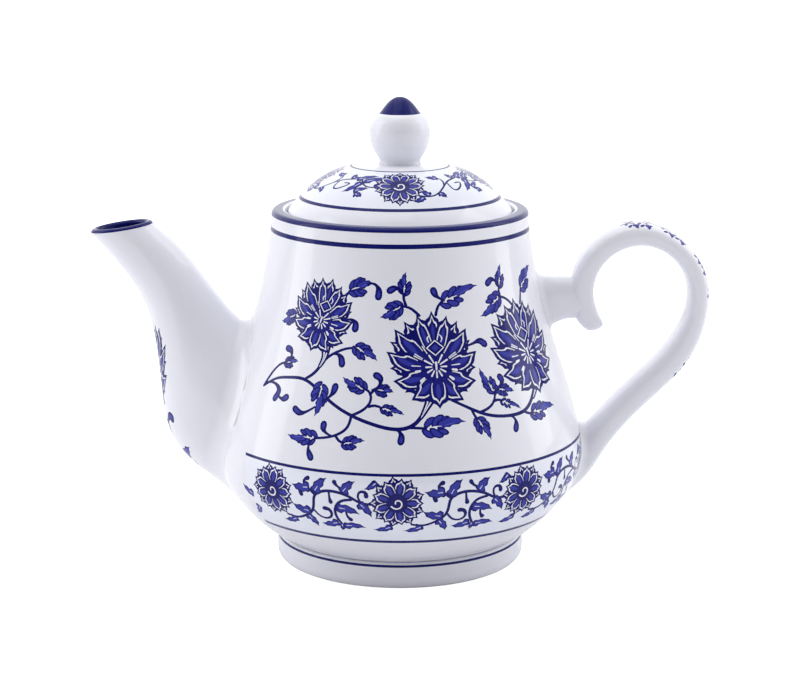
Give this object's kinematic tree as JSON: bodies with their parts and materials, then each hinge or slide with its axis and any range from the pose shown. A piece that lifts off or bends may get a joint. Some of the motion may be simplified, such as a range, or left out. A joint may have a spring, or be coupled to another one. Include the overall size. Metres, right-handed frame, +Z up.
{
  "type": "teapot",
  "caption": "Porcelain teapot with a cone-shaped body, bent spout, scroll handle on a bracket, foot ring, and a lift-off domed lid with a pointed knob.",
  "frame": {"origin": "on the pot's own axis, in the plane that the foot ring stands on", "axes": "+Z up along the pot's axis, +X towards the handle with the spout along -X, +Y across"},
  "size_m": [0.224, 0.134, 0.1694],
  "materials": {
    "decorated_glaze": "clear gloss glaze over a white body, with cobalt blue decoration under it",
    "plain_glaze": "clear gloss glaze over a white body",
    "foot_glaze": "clear gloss glaze, wiped off the face that it stands on"
  },
  "bodies": {
    "pot": {"pot_wall": "decorated_glaze", "foot_ring": "foot_glaze", "strainer": "plain_glaze", "spout": "decorated_glaze", "handle_scroll": "decorated_glaze", "handle_bracket": "plain_glaze"},
    "lid": {"lid_dome": "decorated_glaze", "lid_flange": "plain_glaze", "lid_knob": "decorated_glaze"}
  },
  "joints": [
    {"name": "lid_lift", "type": "slide", "parent": "pot", "child": "lid", "axis": [0, 0, 1], "range_m": [0, 0.08]}
  ]
}
